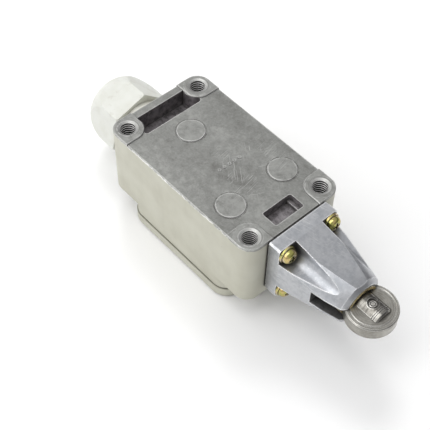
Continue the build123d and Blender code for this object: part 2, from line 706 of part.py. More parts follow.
with BuildPart() as plunger_bush:
    turn(
        [
            (BUSH_START_X, PLUNGER_R + RUNNING_CLEARANCE),
            (BUSH_START_X, BUSH_R),
            (BUSH_END_X, BUSH_R),
            (BUSH_END_X, BUSH_RECESS_R),
            (BUSH_RECESS_X, BUSH_RECESS_R),
            (BUSH_RECESS_X, PLUNGER_R + RUNNING_CLEARANCE),
        ],
        HEAD_Z,
    )
    block((BUSH_SLOT_X, BUSH_END_X), (-BUSH_R, BUSH_R), slot_z, Mode.SUBTRACT)

save(plunger_bush.part, "plunger_bush")

with BuildPart() as wiper_ring:
    tube((BUSH_RECESS_X, WIPER_END_X), BUSH_RECESS_R, PLUNGER_R + RUNNING_CLEARANCE, HEAD_Z)
    block((BUSH_RECESS_X, WIPER_END_X), (-BUSH_R, BUSH_R), slot_z, Mode.SUBTRACT)

save(wiper_ring.part, "wiper_ring")

with BuildPart() as plunger_seal:
    tube((BUSH_SEAT_X, BUSH_START_X), BUSH_R, PLUNGER_R + RUNNING_CLEARANCE, HEAD_Z)

save(plunger_seal.part, "plunger_seal")

with BuildPart() as return_spring:
    coil((SPRING_CHAMBER_X, PLUNGER_FLANGE_X), 5.4, 0.5, 6, HEAD_Z)

save(return_spring.part, "return_spring")

with BuildPart() as push_rod:
    rod_disc_end_x = ROD_DISC_X + ROD_DISC_THICKNESS
    turn(
        [
            (ROD_START_X, 0),
            (ROD_START_X, ROD_R - 0.3),
            (ROD_START_X + 0.3, ROD_R),
            (ROD_DISC_X, ROD_R),
            (ROD_DISC_X, ROD_DISC_R),
            (rod_disc_end_x, ROD_DISC_R),
            (rod_disc_end_x, 0),
        ],
        HEAD_Z,
    )

save(push_rod.part, "push_rod")

with BuildPart() as rod_retaining_ring:
    tube((ROD_RING_X, ROD_RING_X + ROD_RING_THICKNESS), PLUNGER_BORE_R, ROD_RING_BORE_R, HEAD_Z)

save(rod_retaining_ring.part, "rod_retaining_ring")

with BuildPart() as overtravel_spring:
    coil((rod_disc_end_x, PLUNGER_BORE_END_X), 2.5, 0.28, 4, HEAD_Z)

save(overtravel_spring.part, "overtravel_spring")

# ---------------------------------------------------------------- built-in switch

# Stations along X of the fixed contacts on both sides of the bridge
nc_contact_x = BRIDGE_X[1] + BRIDGE_CONTACT_HEIGHT + CONTACT_GAP
nc_strip_x = nc_contact_x + FIXED_CONTACT_HEIGHT
no_contact_x = BRIDGE_X[0] - BRIDGE_CONTACT_HEIGHT - BRIDGE_TRAVEL - CONTACT_GAP
no_strip_x = no_contact_x - FIXED_CONTACT_HEIGHT

nc_strips = terminal_strip(nc_strip_x, 1)
no_strips = terminal_strip(no_strip_x, -1)
terminal_screw_xs = (nc_strip_x + TERMINAL_SCREW_FROM_STRIP, no_strip_x - TERMINAL_SCREW_FROM_STRIP)
terminal_screw_points = [(x, side * TERMINAL_SCREW_Y) for x in terminal_screw_xs for side in (1, -1)]
chamber_z = (HEAD_Z + CHAMBER_HALF_Z, CASE_FRONT_Z)

with BuildPart() as switch_case:
    block(CASE_X, (-CASE_HALF_Y, CASE_HALF_Y), (FLOOR_Z, CASE_FRONT_Z))
    fillet(switch_case.edges().filter_by(Axis.Z), 1.0)
    tube((CASE_X[1] - 1, CASE_NOSE_X), CASE_NOSE_R, BUTTON_R - 0.5, HEAD_Z)
    block((CASE_X[0], CASE_LEDGE_X), (-CASE_HALF_Y, CASE_HALF_Y), (CASE_LEDGE_Z, FLOOR_Z), Mode.SUBTRACT)
    block(CHAMBER_X, (-CHAMBER_HALF_Y, CHAMBER_HALF_Y), chamber_z, Mode.SUBTRACT)
    bore((CHAMBER_X[1], CASE_NOSE_X), BUTTON_R + RUNNING_CLEARANCE, HEAD_Z)
    add(nc_strips, mode=Mode.SUBTRACT)
    add(no_strips, mode=Mode.SUBTRACT)
    with Locations(*[facing_front(CASE_FRONT_Z, x, y) for x, y in terminal_screw_points]):
        Hole(TERMINAL_SCREW_R, depth=7)
    with Locations(*[facing_front(CASE_FRONT_Z, CASE_SCREW_X, side * CASE_SCREW_Y) for side in (1, -1)]):
        Hole(CASE_SCREW_R + 0.3, depth=CASE_LEDGE_Z - CASE_FRONT_Z)

save(switch_case.part, "switch_case")

with BuildPart() as switch_case_cover:
    cover_z = (CASE_FRONT_Z - CASE_COVER_THICKNESS, CASE_FRONT_Z)
    block(CHAMBER_X, (-CHAMBER_HALF_Y, CHAMBER_HALF_Y), cover_z)
    fillet(switch_case_cover.edges().filter_by(Axis.Z), 1.0)
    ridge_z = (cover_z[0] - 1.0, cover_z[0])
    block((nc_strip_x - 3.0, nc_strip_x - 1.8), (-CHAMBER_HALF_Y, CHAMBER_HALF_Y), ridge_z)

save(switch_case_cover.part, "switch_case_cover")

save(nc_strips, "nc_terminal_strips")
save(no_strips, "no_terminal_strips")

with BuildPart() as nc_contacts:
    with BuildSketch(facing_x(nc_contact_x, HEAD_Z)):
        with Locations((CONTACT_Y, 0), (-CONTACT_Y, 0)):
            Circle(CONTACT_R)
    extrude(amount=FIXED_CONTACT_HEIGHT)

save(nc_contacts.part, "nc_contacts")

with BuildPart() as no_contacts:
    with BuildSketch(facing_x(no_contact_x, HEAD_Z)):
        with Locations((CONTACT_Y, 0), (-CONTACT_Y, 0)):
            Circle(CONTACT_R)
    extrude(amount=-FIXED_CONTACT_HEIGHT)

save(no_contacts.part, "no_contacts")

with BuildPart() as switch_button:
    turn(
        [
            (BUTTON_STEM_X, 0),
            (BUTTON_STEM_X, BUTTON_STEM_R),
            (BUTTON_SHOULDER_X, BUTTON_STEM_R),
            (BUTTON_SHOULDER_X, BUTTON_R),
            (BUTTON_FLANGE_X[0], BUTTON_R),
            (BUTTON_FLANGE_X[0], BUTTON_FLANGE_R),
            (BUTTON_FLANGE_X[1], BUTTON_FLANGE_R),
            (BUTTON_FLANGE_X[1], BUTTON_R),
            (BUTTON_END_X - 0.4, BUTTON_R),
            (BUTTON_END_X, BUTTON_R - 0.4),
            (BUTTON_END_X, 0),
        ],
        HEAD_Z,
    )

save(switch_button.part, "switch_button")

with BuildPart() as contact_bridge:
    bridge_z = (HEAD_Z - BRIDGE_HALF_Z, HEAD_Z + BRIDGE_HALF_Z)
    block(BRIDGE_X, (-BRIDGE_HALF_Y, BRIDGE_HALF_Y), bridge_z)
    bore(BRIDGE_X, BRIDGE_BORE_R, HEAD_Z)

save(contact_bridge.part, "contact_bridge")

with BuildPart() as bridge_contacts:
    for face_x, towards in ((BRIDGE_X[1], 1), (BRIDGE_X[0], -1)):
        with BuildSketch(facing_x(face_x, HEAD_Z)):
            with Locations((CONTACT_Y, 0), (-CONTACT_Y, 0)):
                Circle(CONTACT_R)
        extrude(amount=towards * BRIDGE_CONTACT_HEIGHT)

save(bridge_contacts.part, "bridge_contacts")

with BuildPart() as contact_spring:
    coil((BRIDGE_X[1], BUTTON_SHOULDER_X), 1.85, 0.18, 3, HEAD_Z)

save(contact_spring.part, "contact_spring")

with BuildPart() as button_return_spring:
    coil((CHAMBER_X[0], BRIDGE_X[0]), 1.95, 0.2, 8, HEAD_Z)

save(button_return_spring.part, "button_return_spring")

terminal_seat_z = CASE_FRONT_Z - STRIP_THICKNESS
terminal_screw = pan_head_screw(2.9, 2.0, TERMINAL_SCREW_R, 7.0)

with BuildPart() as terminal_washers:
    with BuildSketch(facing_front(terminal_seat_z)):
        with Locations(*[(x, -y) for x, y in terminal_screw_points]):
            Rectangle(5.4, 5.0)
            Circle(TERMINAL_SCREW_R + 0.1, mode=Mode.SUBTRACT)
    extrude(amount=TERMINAL_WASHER_THICKNESS)

save(terminal_washers.part, "terminal_washers")

with BuildPart() as terminal_screws:
    seat_z = terminal_seat_z - TERMINAL_WASHER_THICKNESS
    with Locations(*[facing_front(seat_z, x, y) for x, y in terminal_screw_points]):
        add(terminal_screw)

save(terminal_screws.part, "terminal_screws")

case_screw = pan_head_screw(2.7, 1.9, CASE_SCREW_R, CASE_SCREW_LENGTH - 3)

with BuildPart() as switch_mounting_screws:
    with Locations(*[facing_front(CASE_FRONT_Z, CASE_SCREW_X, side * CASE_SCREW_Y) for side in (1, -1)]):
        add(case_screw)

save(switch_mounting_screws.part, "switch_mounting_screws")

ground_screw_shape = pan_head_screw(3.2, 2.2, GROUND_SCREW_R, 5.0)

with BuildPart() as ground_screw:
    with Locations(facing_front(GROUND_BOSS_Z, GROUND_X, GROUND_Y)):
        add(ground_screw_shape)

save(ground_screw.part, "ground_screw")

# ---------------------------------------------------------------- cable gland

gland_washer_x = -HOUSING_END_X - GLAND_WASHER_THICKNESS

with BuildPart() as gland_body:
    turn(
        [
            (GLAND_THREAD_END_X, GLAND_BORE_R),
            (GLAND_THREAD_END_X, GLAND_THREAD_R - 0.6),
            (GLAND_THREAD_END_X - 0.6, GLAND_THREAD_R),
            (-HOUSING_END_X, GLAND_THREAD_R),
            (-HOUSING_END_X, GLAND_COLLAR_R),
            (NUT_INNER_X, GLAND_COLLAR_R),
            (NUT_INNER_X, NUT_THREAD_R),
            (GLAND_BODY_END_X, NUT_THREAD_R),
            (GLAND_BODY_END_X, GROMMET_R),
            (GROMMET_X[0], GROMMET_R),
            (GROMMET_X[0], GLAND_BORE_R),
        ],
        GLAND_Z,
    )

save(gland_body.part, "gland_body")

with BuildPart() as gland_washer:
    tube((gland_washer_x, -HOUSING_END_X), GLAND_WASHER_R, GLAND_COLLAR_R, GLAND_Z)

save(gland_washer.part, "gland_washer")

with BuildPart() as gland_grommet:
    tube(GROMMET_X, GROMMET_R, CABLE_R, GLAND_Z)
    mouths = gland_grommet.edges().filter_by(GeomType.CIRCLE).filter_by(lambda edge: edge.radius < CABLE_R + 0.1)
    chamfer(mouths, 0.6)

save(gland_grommet.part, "gland_grommet")

with BuildPart() as gland_friction_ring:
    tube((GROMMET_X[1], NUT_CAVITY_X), GROMMET_R, NUT_HOLE_R, GLAND_Z)

save(gland_friction_ring.part, "gland_friction_ring")

with BuildPart() as gland_nut:
    with BuildSketch(facing_x(NUT_INNER_X, GLAND_Z)):
        RegularPolygon(NUT_CORNER_R, 6, rotation=NUT_VERTEX_ANGLE)
    extrude(amount=NUT_END_X - NUT_INNER_X)
    with BuildSketch(Plane(origin=(0, 0, GLAND_Z), x_dir=(1, 0, 0), z_dir=(0, -1, 0))) as dome_section:
        with BuildLine():
            EllipticalCenterArc(
                (NUT_PRISM_END_X, NUT_END_R),
                NUT_PRISM_END_X - NUT_END_X,
                NUT_CORNER_R - NUT_END_R,
                start_angle=90,
                arc_size=90,
            )
            Polyline(
                (NUT_END_X, NUT_END_R),
                (NUT_END_X, 0),
                (NUT_INNER_X, 0),
                (NUT_INNER_X, NUT_CORNER_R - NUT_EDGE),
                (NUT_INNER_X - NUT_EDGE, NUT_CORNER_R),
                (NUT_PRISM_END_X, NUT_CORNER_R),
            )
        make_face()
    revolve(dome_section.sketch, axis=Axis((0, 0, GLAND_Z), (1, 0, 0)), mode=Mode.INTERSECT)
    bore((NUT_INNER_X, NUT_CAVITY_X), NUT_THREAD_R, GLAND_Z)
    bore((NUT_CAVITY_X, NUT_END_X), NUT_HOLE_R, GLAND_Z)
    mouth = gland_nut.edges().filter_by(GeomType.CIRCLE).filter_by(lambda edge: edge.radius < NUT_HOLE_R + 0.1)
    fillet(mouth.sort_by(Axis.X)[0], 0.8)

save(gland_nut.part, "gland_nut")
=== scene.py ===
import json
import math

import bpy
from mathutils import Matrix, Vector


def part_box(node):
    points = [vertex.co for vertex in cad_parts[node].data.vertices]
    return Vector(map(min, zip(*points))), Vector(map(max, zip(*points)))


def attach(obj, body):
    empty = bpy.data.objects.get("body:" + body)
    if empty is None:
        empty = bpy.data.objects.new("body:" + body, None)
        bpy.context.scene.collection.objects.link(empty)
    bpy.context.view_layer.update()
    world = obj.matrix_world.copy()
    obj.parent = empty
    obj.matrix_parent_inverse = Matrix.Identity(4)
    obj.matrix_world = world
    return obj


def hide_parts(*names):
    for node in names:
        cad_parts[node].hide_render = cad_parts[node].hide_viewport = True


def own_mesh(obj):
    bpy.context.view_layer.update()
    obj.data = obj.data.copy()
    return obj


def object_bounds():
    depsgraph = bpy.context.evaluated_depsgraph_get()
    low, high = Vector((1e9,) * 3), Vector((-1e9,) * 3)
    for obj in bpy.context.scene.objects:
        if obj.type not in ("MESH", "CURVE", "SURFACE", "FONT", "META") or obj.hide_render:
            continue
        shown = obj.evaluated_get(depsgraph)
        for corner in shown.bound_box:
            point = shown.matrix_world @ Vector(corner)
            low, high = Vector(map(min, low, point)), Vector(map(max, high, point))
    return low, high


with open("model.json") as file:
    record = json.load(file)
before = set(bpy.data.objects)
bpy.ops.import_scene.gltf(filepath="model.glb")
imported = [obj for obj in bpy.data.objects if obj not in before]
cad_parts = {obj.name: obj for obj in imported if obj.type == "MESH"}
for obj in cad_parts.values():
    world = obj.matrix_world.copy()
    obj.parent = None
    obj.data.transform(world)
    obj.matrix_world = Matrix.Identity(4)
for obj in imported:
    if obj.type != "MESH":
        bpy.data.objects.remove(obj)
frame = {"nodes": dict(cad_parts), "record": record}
cad_low, cad_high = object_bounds()
nodes = frame["nodes"]
scene = bpy.context.scene

MM = 0.001

# ---------------------------------------------------------------- camera

CAMERA_PLACE = (0.1474, -0.1383, 0.2310)
CAMERA_ANGLES = (37.66, -0.815, 48.39)
CAMERA_LENS = 80.1
CAMERA_SENSOR = 36.0

lens = bpy.data.cameras.new("camera")
lens.lens = CAMERA_LENS
lens.sensor_width = CAMERA_SENSOR
lens.clip_start = 0.01
lens.clip_end = 20.0
camera = bpy.data.objects.new("camera", lens)
camera.location = CAMERA_PLACE
camera.rotation_euler = [math.radians(angle) for angle in CAMERA_ANGLES]
scene.collection.objects.link(camera)
scene.camera = camera
scene.view_settings.view_transform = "Standard"

# ---------------------------------------------------------------- node graphs

EDGE_SAMPLES = 6
HOLLOW_SAMPLES = 8
ROUNDING_SAMPLES = 4
SOFT = 0.1 * MM


def colour_sockets(sockets):
    """The colour sockets of a Mix node, which also has sockets for other kinds of value."""
    return [socket for socket in sockets if socket.type == "RGBA"]


class Graph:
    """A node tree, with a short call for each kind of node."""

    def __init__(self, tree, coordinates):
        self.tree = tree
        self.place = self.add("ShaderNodeTexCoord").outputs[coordinates]
        split = self.add("ShaderNodeSeparateXYZ")
        self.link(self.place, split.inputs[0])
        self.x, self.y, self.z = split.outputs

    def add(self, kind, **settings):
        node = self.tree.nodes.new(kind)
        for key, value in settings.items():
            setattr(node, key, value)
        return node

    def link(self, source, target):
        """Links a socket, or sets a plain value."""
        if isinstance(source, bpy.types.NodeSocket):
            self.tree.links.new(source, target)
        elif isinstance(source, (tuple, list)) and len(source) == 3 and target.type == "RGBA":
            target.default_value = (*source, 1.0)
        else:
            target.default_value = source

    def math(self, operation, a, b=0.0):
        node = self.add("ShaderNodeMath", operation=operation)
        for value, target in zip((a, b), node.inputs):
            self.link(value, target)
        return node.outputs[0]

    def times(self, *factors):
        result = factors[0]
        for factor in factors[1:]:
            result = self.math("MULTIPLY", result, factor)
        return result

    def most(self, *masks):
        result = masks[0]
        for mask in masks[1:]:
            result = self.math("MAXIMUM", result, mask)
        return result

    def least(self, *values):
        result = values[0]
        for value in values[1:]:
            result = self.math("MINIMUM", result, value)
        return result

    def rise(self, value, low, high, out_low=0.0, out_high=1.0):
        """A smooth step of value from out_low, at low, to out_high, at high."""
        node = self.add("ShaderNodeMapRange", interpolation_type="SMOOTHSTEP")
        for number, target in zip((value, low, high, out_low, out_high), node.inputs):
            self.link(number, target)
        return node.outputs[0]

    def inside(self, value, low, high, soft):
        """1 where value is between low and high."""
        rising = self.rise(value, low - soft, low + soft)
        falling = self.rise(value, high + soft, high - soft)
        return self.times(rising, falling)

    def distance(self, u, v, centre):
        """Distance of (u, v) from centre."""
        du = self.math("SUBTRACT", u, centre[0])
        dv = self.math("SUBTRACT", v, centre[1])
        return self.math("SQRT", self.math("ADD", self.times(du, du), self.times(dv, dv)))

    def noise(self, size, detail=3.0, roughness=0.55, stretch=(1, 1, 1), seed=0.0, source=None):
        """Noise with features of about size metres, times stretch along each axis."""
        mapping = self.add("ShaderNodeMapping")
        self.link(source or self.place, mapping.inputs["Vector"])
        mapping.inputs["Location"].default_value = (seed, 0.37 * seed, -0.61 * seed)
        mapping.inputs["Scale"].default_value = [1.0 / factor for factor in stretch]
        node = self.add("ShaderNodeTexNoise")
        self.link(mapping.outputs[0], node.inputs["Vector"])
        node.inputs["Scale"].default_value = 1.0 / size
        node.inputs["Detail"].default_value = detail
        node.inputs["Roughness"].default_value = roughness
        return node.outputs["Fac"]

    def cells(self, size, seed):
        """Distance to the nearest of many scattered points about size metres apart."""
        mapping = self.add("ShaderNodeMapping")
        self.link(self.place, mapping.inputs["Vector"])
        mapping.inputs["Location"].default_value = (seed, -seed, 0.5 * seed)
        node = self.add("ShaderNodeTexVoronoi", feature="F1")
        self.link(mapping.outputs[0], node.inputs["Vector"])
        node.inputs["Scale"].default_value = 1.0 / size
        return node.outputs["Distance"]

    def mix(self, factor, a, b):
        """Colour a where factor is 0, colour b where it is 1."""
        node = self.add("ShaderNodeMix", data_type="RGBA")
        self.link(factor, node.inputs[0])
        for colour, target in zip((a, b), colour_sockets(node.inputs)):
            self.link(colour, target)
        return colour_sockets(node.outputs)[0]


class Surface(Graph):
    """The node tree of one new material, in the piece's own axes."""

    def __init__(self, name):
        self.material = bpy.data.materials.new(name)
        self.material.use_nodes = True
        super().__init__(self.material.node_tree, "Object")
        self.shader = self.tree.nodes["Principled BSDF"]

    def edges(self, radius, low=0.02, high=0.25):
        """1 on edges, found from how a rounding of that radius turns the surface normal."""
        rounded = self.add("ShaderNodeBevel", samples=EDGE_SAMPLES)
        rounded.inputs["Radius"].default_value = radius
        true_normal = self.add("ShaderNodeNewGeometry").outputs["Normal"]
        dot = self.add("ShaderNodeVectorMath", operation="DOT_PRODUCT")
        self.link(rounded.outputs[0], dot.inputs[0])
        self.link(true_normal, dot.inputs[1])
        return self.rise(self.math("SUBTRACT", 1.0, dot.outputs["Value"]), low, high)

    def hollows(self, reach, low=0.35, high=0.9):
        """1 deep in corners and holes, 0 on open surface."""
        node = self.add("ShaderNodeAmbientOcclusion", samples=HOLLOW_SAMPLES)
        node.inputs["Distance"].default_value = reach
        return self.rise(node.outputs["AO"], high, low)

    def finish(self, colour=None, roughness=None, metallic=None, heights=(), rounding=0.0):
        """Links the surface's patterns. heights are (pattern, depth in metres, strength)."""
        patterns = {"Base Color": colour, "Roughness": roughness, "Metallic": metallic}
        for socket, value in patterns.items():
            if value is not None:
                self.link(value, self.shader.inputs[socket])
        last = None
        if rounding:
            rounded = self.add("ShaderNodeBevel", samples=ROUNDING_SAMPLES)
            rounded.inputs["Radius"].default_value = rounding
            last = rounded.outputs[0]
        for pattern, depth, strength in heights:
            bump = self.add("ShaderNodeBump")
            bump.inputs["Strength"].default_value = strength
            bump.inputs["Distance"].default_value = depth
            self.link(pattern, bump.inputs["Height"])
            if last is not None:
                self.link(last, bump.inputs["Normal"])
            last = bump.outputs[0]
        if last is not None:
            self.link(last, self.shader.inputs["Normal"])
        return self.material


def scratches(g, size, angle, length, seed, amount=0.66):
    """Hair lines on faces that look along Z, at angle degrees from the X axis."""
    turned = g.add("ShaderNodeMapping")
    g.link(g.place, turned.inputs["Vector"])
    turned.inputs["Rotation"].default_value = (0, 0, math.radians(-angle))
    lines = g.noise(size, detail=0.0, stretch=(length, 1, 1), seed=seed, source=turned.outputs[0])
    patches = g.noise(0.009, detail=1.0, seed=seed + 3.0)
    return g.times(g.rise(lines, amount, amount + 0.04), g.rise(patches, 0.52, 0.64))


# ---------------------------------------------------------------- housing casting

HOLE_X, HOLE_Y = 29.35 * MM, 15.1 * MM
HOLE_MOUTH_R = 3.6 * MM
THREAD_CREST_R, THREAD_ROOT_R = 2.64 * MM, 2.74 * MM
BORE_WALL_R = 3.1 * MM
PADS = [(-15.2 * MM, 0.0), (16.4 * MM, 11.1 * MM), (16.4 * MM, -11.1 * MM)]
PAD_R = 4.9 * MM
GLAND_POCKET = ((-31.4 * MM, -23.3 * MM), 12.2 * MM, -7.2 * MM)
HEAD_POCKET = ((24.9 * MM, 31.5 * MM), 6.2 * MM, -4.2 * MM)
REAR_FACE_Z = -0.45 * MM
PAINT_END_Z = (-1.05 * MM, -0.75 * MM)
CAVITY_X, CAVITY_Y, CAVITY_Z = 22.7 * MM, 17.7 * MM, -2.9 * MM
NEAR_SIDE_Y = -19.0 * MM

PAINT = (0.525, 0.52, 0.435)
PAINT_SHADE = (0.455, 0.445, 0.365)
BARE_LIGHT = (0.42, 0.422, 0.402)
BARE_MID = (0.305, 0.308, 0.292)
BARE_DARK = (0.215, 0.213, 0.20)
# Wear colour for scratches and machining marks, also used as a painted highlight on edges, hole
# mouths and pad rims
WORN_AND_GLINT = (0.82, 0.82, 0.80)
BRIGHT_STRIP = (0.88, 0.88, 0.85)
# Painted shade colour for the foot of the raised pads
PAD_FOOT_SHADE = (0.07, 0.066, 0.06)
STAINS = ((0.12, 0.108, 0.115), (0.36, 0.335, 0.35))
# Painted shade colours for corners and for the foot of steps
CORNER_SHADE = (0.055, 0.05, 0.045)
STEP_FOOT_SHADE = (0.035, 0.031, 0.028)
SCRATCHED_PLACE = (9.0 * MM, 2.0 * MM)


def paint_layers(g):
    """Colour, roughness and height of the sprayed ivory paint."""
    clouds = g.noise(0.014, detail=3.0, seed=1.0)
    streaks = g.noise(0.004, detail=2.0, stretch=(1, 1, 8), seed=4.0)
    shading = g.math("ADD", clouds, g.times(streaks, 0.35))
    colour = g.mix(g.rise(shading, 0.45, 0.95), PAINT, PAINT_SHADE)
    specks = g.rise(g.cells(0.0016, seed=2.0), 0.13, 0.05)
    speck_patches = g.rise(g.noise(0.01, detail=1.0, seed=8.0), 0.5, 0.65)
    colour = g.mix(g.times(specks, speck_patches, 0.5), colour, (0.30, 0.27, 0.21))
    peel = g.noise(0.0007, detail=2.0, seed=5.0)
    roughness = g.rise(clouds, 0.3, 0.7, 0.40, 0.52)
    return colour, roughness, peel


def cast_layers(g):
    """Colour, roughness, height and scratches of the bare die-cast metal."""
    broad = g.noise(0.011, detail=4.0, roughness=0.6, stretch=(1.6, 1, 1), seed=11.0)
    fine = g.noise(0.0022, detail=4.0, roughness=0.65, seed=12.0)
    grain = g.noise(0.0005, detail=2.0, seed=13.0)
    tone = g.math("ADD", g.times(broad, 0.5), g.times(fine, 0.5))
    colour = g.mix(g.rise(tone, 0.30, 0.50), BARE_DARK, BARE_MID)
    colour = g.mix(g.rise(tone, 0.47, 0.70), colour, BARE_LIGHT)
    sand = g.noise(0.0006, detail=3.0, roughness=0.7, seed=14.0)
    colour = g.mix(g.rise(sand, 0.50, 0.72, 0.0, 0.45), colour, BARE_LIGHT)
    colour = g.mix(g.rise(sand, 0.46, 0.28, 0.0, 0.45), colour, BARE_DARK)
    worn_patch = g.rise(g.distance(g.x, g.times(g.y, 0.8), SCRATCHED_PLACE), 17.0 * MM, 5.0 * MM)
    lines = g.most(
        scratches(g, 0.00022, 62, 34, 21.0, 0.66),
        scratches(g, 0.00022, 100, 40, 25.0, 0.67),
        scratches(g, 0.00025, -35, 30, 28.0, 0.68),
    )
    lines = g.times(lines, worn_patch)
    colour = g.mix(g.times(lines, 0.4), colour, WORN_AND_GLINT)
    pits = g.times(g.rise(g.cells(0.0013, seed=31.0), 0.16, 0.06), g.rise(fine, 0.5, 0.6))
    colour = g.mix(g.times(pits, 0.5), colour, BARE_DARK)
    roughness = g.rise(tone, 0.35, 0.65, 0.56, 0.40)
    height = g.math("ADD", g.times(grain, 0.5), g.times(fine, 0.5))
    return colour, roughness, height, lines


def housing_material():
    """A bare casting at the rear and inside, painted on its sides."""
    g = Surface("housing_casting")
    paint, paint_rough, peel = paint_layers(g)
    bare, bare_rough, grain, lines = cast_layers(g)
    across, along = g.math("ABSOLUTE", g.x), g.math("ABSOLUTE", g.y)
    ragged = g.math("SUBTRACT", g.noise(0.0016, detail=3.0, seed=41.0), 0.5)
    height = g.math("ADD", g.z, g.times(ragged, 0.9 * MM))

    # Where the casting is bare: rear face, holes, pockets and the hollow inside
    rear = g.rise(height, *PAINT_END_Z)
    hole_r = g.distance(across, along, (HOLE_X, HOLE_Y))
    bore = g.rise(hole_r, HOLE_MOUTH_R, HOLE_MOUTH_R - SOFT)
    in_bore = g.rise(hole_r, BORE_WALL_R + 1.5 * SOFT, BORE_WALL_R)
    threads = g.times(in_bore, g.rise(g.z, -0.3 * MM, -0.9 * MM))
    roots = g.rise(hole_r, THREAD_CREST_R, THREAD_ROOT_R)
    pockets = []
    for (low_x, high_x), half_y, floor_z in (GLAND_POCKET, HEAD_POCKET):
        in_x = g.inside(g.x, low_x, high_x, SOFT)
        box = g.times(in_x, g.rise(along, half_y, half_y - SOFT))
        pockets.append(g.times(box, g.rise(g.z, floor_z, floor_z + SOFT)))
    pocket = g.times(g.most(*pockets), g.rise(g.z, -0.55 * MM, -0.8 * MM))
    cavity = g.times(
        g.rise(across, CAVITY_X, CAVITY_X - SOFT),
        g.rise(along, CAVITY_Y, CAVITY_Y - SOFT),
        g.rise(g.z, CAVITY_Z, CAVITY_Z - 2 * SOFT),
    )
    bare_mask = g.most(rear, bore, pocket, cavity)

    # Lighter cast pads and bosses
    pad_r = g.least(*[g.distance(g.x, g.y, centre) for centre in PADS])
    pad = g.rise(pad_r, PAD_R + SOFT, PAD_R - SOFT)
    boss_or_pad = g.most(pad, g.rise(g.z, -0.3 * MM, -0.1 * MM))
    raised = g.times(boss_or_pad, g.rise(g.z, REAR_FACE_Z, REAR_FACE_Z + SOFT))
    mottle = g.noise(0.0022, detail=4.0, roughness=0.7, seed=52.0)
    bare = g.mix(g.times(raised, g.rise(mottle, 0.3, 0.7), 0.8), bare, BARE_LIGHT)
    spread = g.add("ShaderNodeCombineXYZ")
    g.link(hole_r, spread.inputs[0])
    g.link(g.times(g.y, 0.05), spread.inputs[1])
    turned = g.noise(0.0005, detail=3.0, roughness=0.7, source=spread.outputs[0], seed=54.0)
    rings = g.rise(turned, 0.5, 0.66)
    # Painted highlight on the chamfer round each hole's mouth, and a painted shade line just
    # outside it
    mouth_highlight = g.inside(hole_r, 2.75 * MM, 3.4 * MM, 0.12 * MM)
    mouth_highlight = g.times(mouth_highlight, g.rise(g.z, -0.6 * MM, -0.4 * MM))
    mouth_shade_line = g.inside(hole_r, HOLE_MOUTH_R, HOLE_MOUTH_R + 0.25 * MM, SOFT)
    mouth_shade_line = g.times(mouth_shade_line, g.rise(g.z, -0.2 * MM, -0.05 * MM))
    bare = g.mix(g.times(mouth_highlight, 0.3), bare, WORN_AND_GLINT)
    bare = g.mix(g.times(mouth_shade_line, g.rise(mottle, 0.3, 0.55), 0.6), bare, BARE_DARK)
    ringed = g.times(raised, g.rise(hole_r, 5.4 * MM, 4.6 * MM), g.rise(mottle, 0.38, 0.55))
    bare = g.mix(g.times(ringed, rings, 0.6), bare, WORN_AND_GLINT)
    on_face = g.rise(g.z, -0.9 * MM, -0.5 * MM)
    # Painted shade along the foot of each raised pad, and a painted highlight along its rim
    pad_foot_shade = g.times(g.inside(pad_r, PAD_R + 0.05 * MM, PAD_R + 0.4 * MM, SOFT), on_face)
    pad_rim_highlight = g.times(g.inside(pad_r, PAD_R - 0.45 * MM, PAD_R - 0.1 * MM, SOFT), on_face)
    bare = g.mix(g.times(pad_foot_shade, g.rise(mottle, 0.3, 0.6), 0.75), bare, PAD_FOOT_SHADE)
    bare = g.mix(g.times(pad_rim_highlight, g.rise(mottle, 0.4, 0.65), 0.5), bare, WORN_AND_GLINT)
    stain = g.mix(g.rise(mottle, 0.35, 0.62), *STAINS)
    bare = g.mix(g.times(pocket, 0.85), bare, stain)

    # Edges lightened, partly as burnished wear and partly as a painted edge highlight, and a
    # chipped bright strip where paint meets metal
    edge = g.edges(0.6 * MM, 0.006, 0.10)
    # Patches where the edge lightening shows: partly wear, partly painted highlight
    wear_and_glint_patches = g.rise(g.noise(0.0035, detail=3.0, seed=61.0), 0.25, 0.5)
    bare = g.mix(g.times(edge, wear_and_glint_patches, 0.85), bare, WORN_AND_GLINT)
    near_side = g.rise(g.y, NEAR_SIDE_Y, NEAR_SIDE_Y - 0.4 * MM)
    strip = g.times(g.inside(height, -1.0 * MM, -0.7 * MM, 0.12 * MM), near_side)
    strip = g.times(strip, g.rise(g.noise(0.004, detail=4.0, roughness=0.7, seed=65.0), 0.42, 0.58))
    bare = g.mix(g.times(strip, 0.7), bare, BRIGHT_STRIP)
    chips = g.times(edge, g.rise(g.noise(0.0018, detail=3.0, seed=71.0), 0.60, 0.66))
    paint = g.mix(g.times(chips, 0.8), paint, (0.36, 0.33, 0.27))

    # Painted shade in corners, tight creases and at the foot of steps
    hollow_shade = g.hollows(2.0 * MM)
    step_shade = g.hollows(0.7 * MM, 0.55, 0.97)
    colour = g.mix(bare_mask, paint, bare)
    colour = g.mix(g.times(hollow_shade, 0.35), colour, CORNER_SHADE)
    colour = g.mix(g.times(step_shade, 0.8), colour, STEP_FOOT_SHADE)
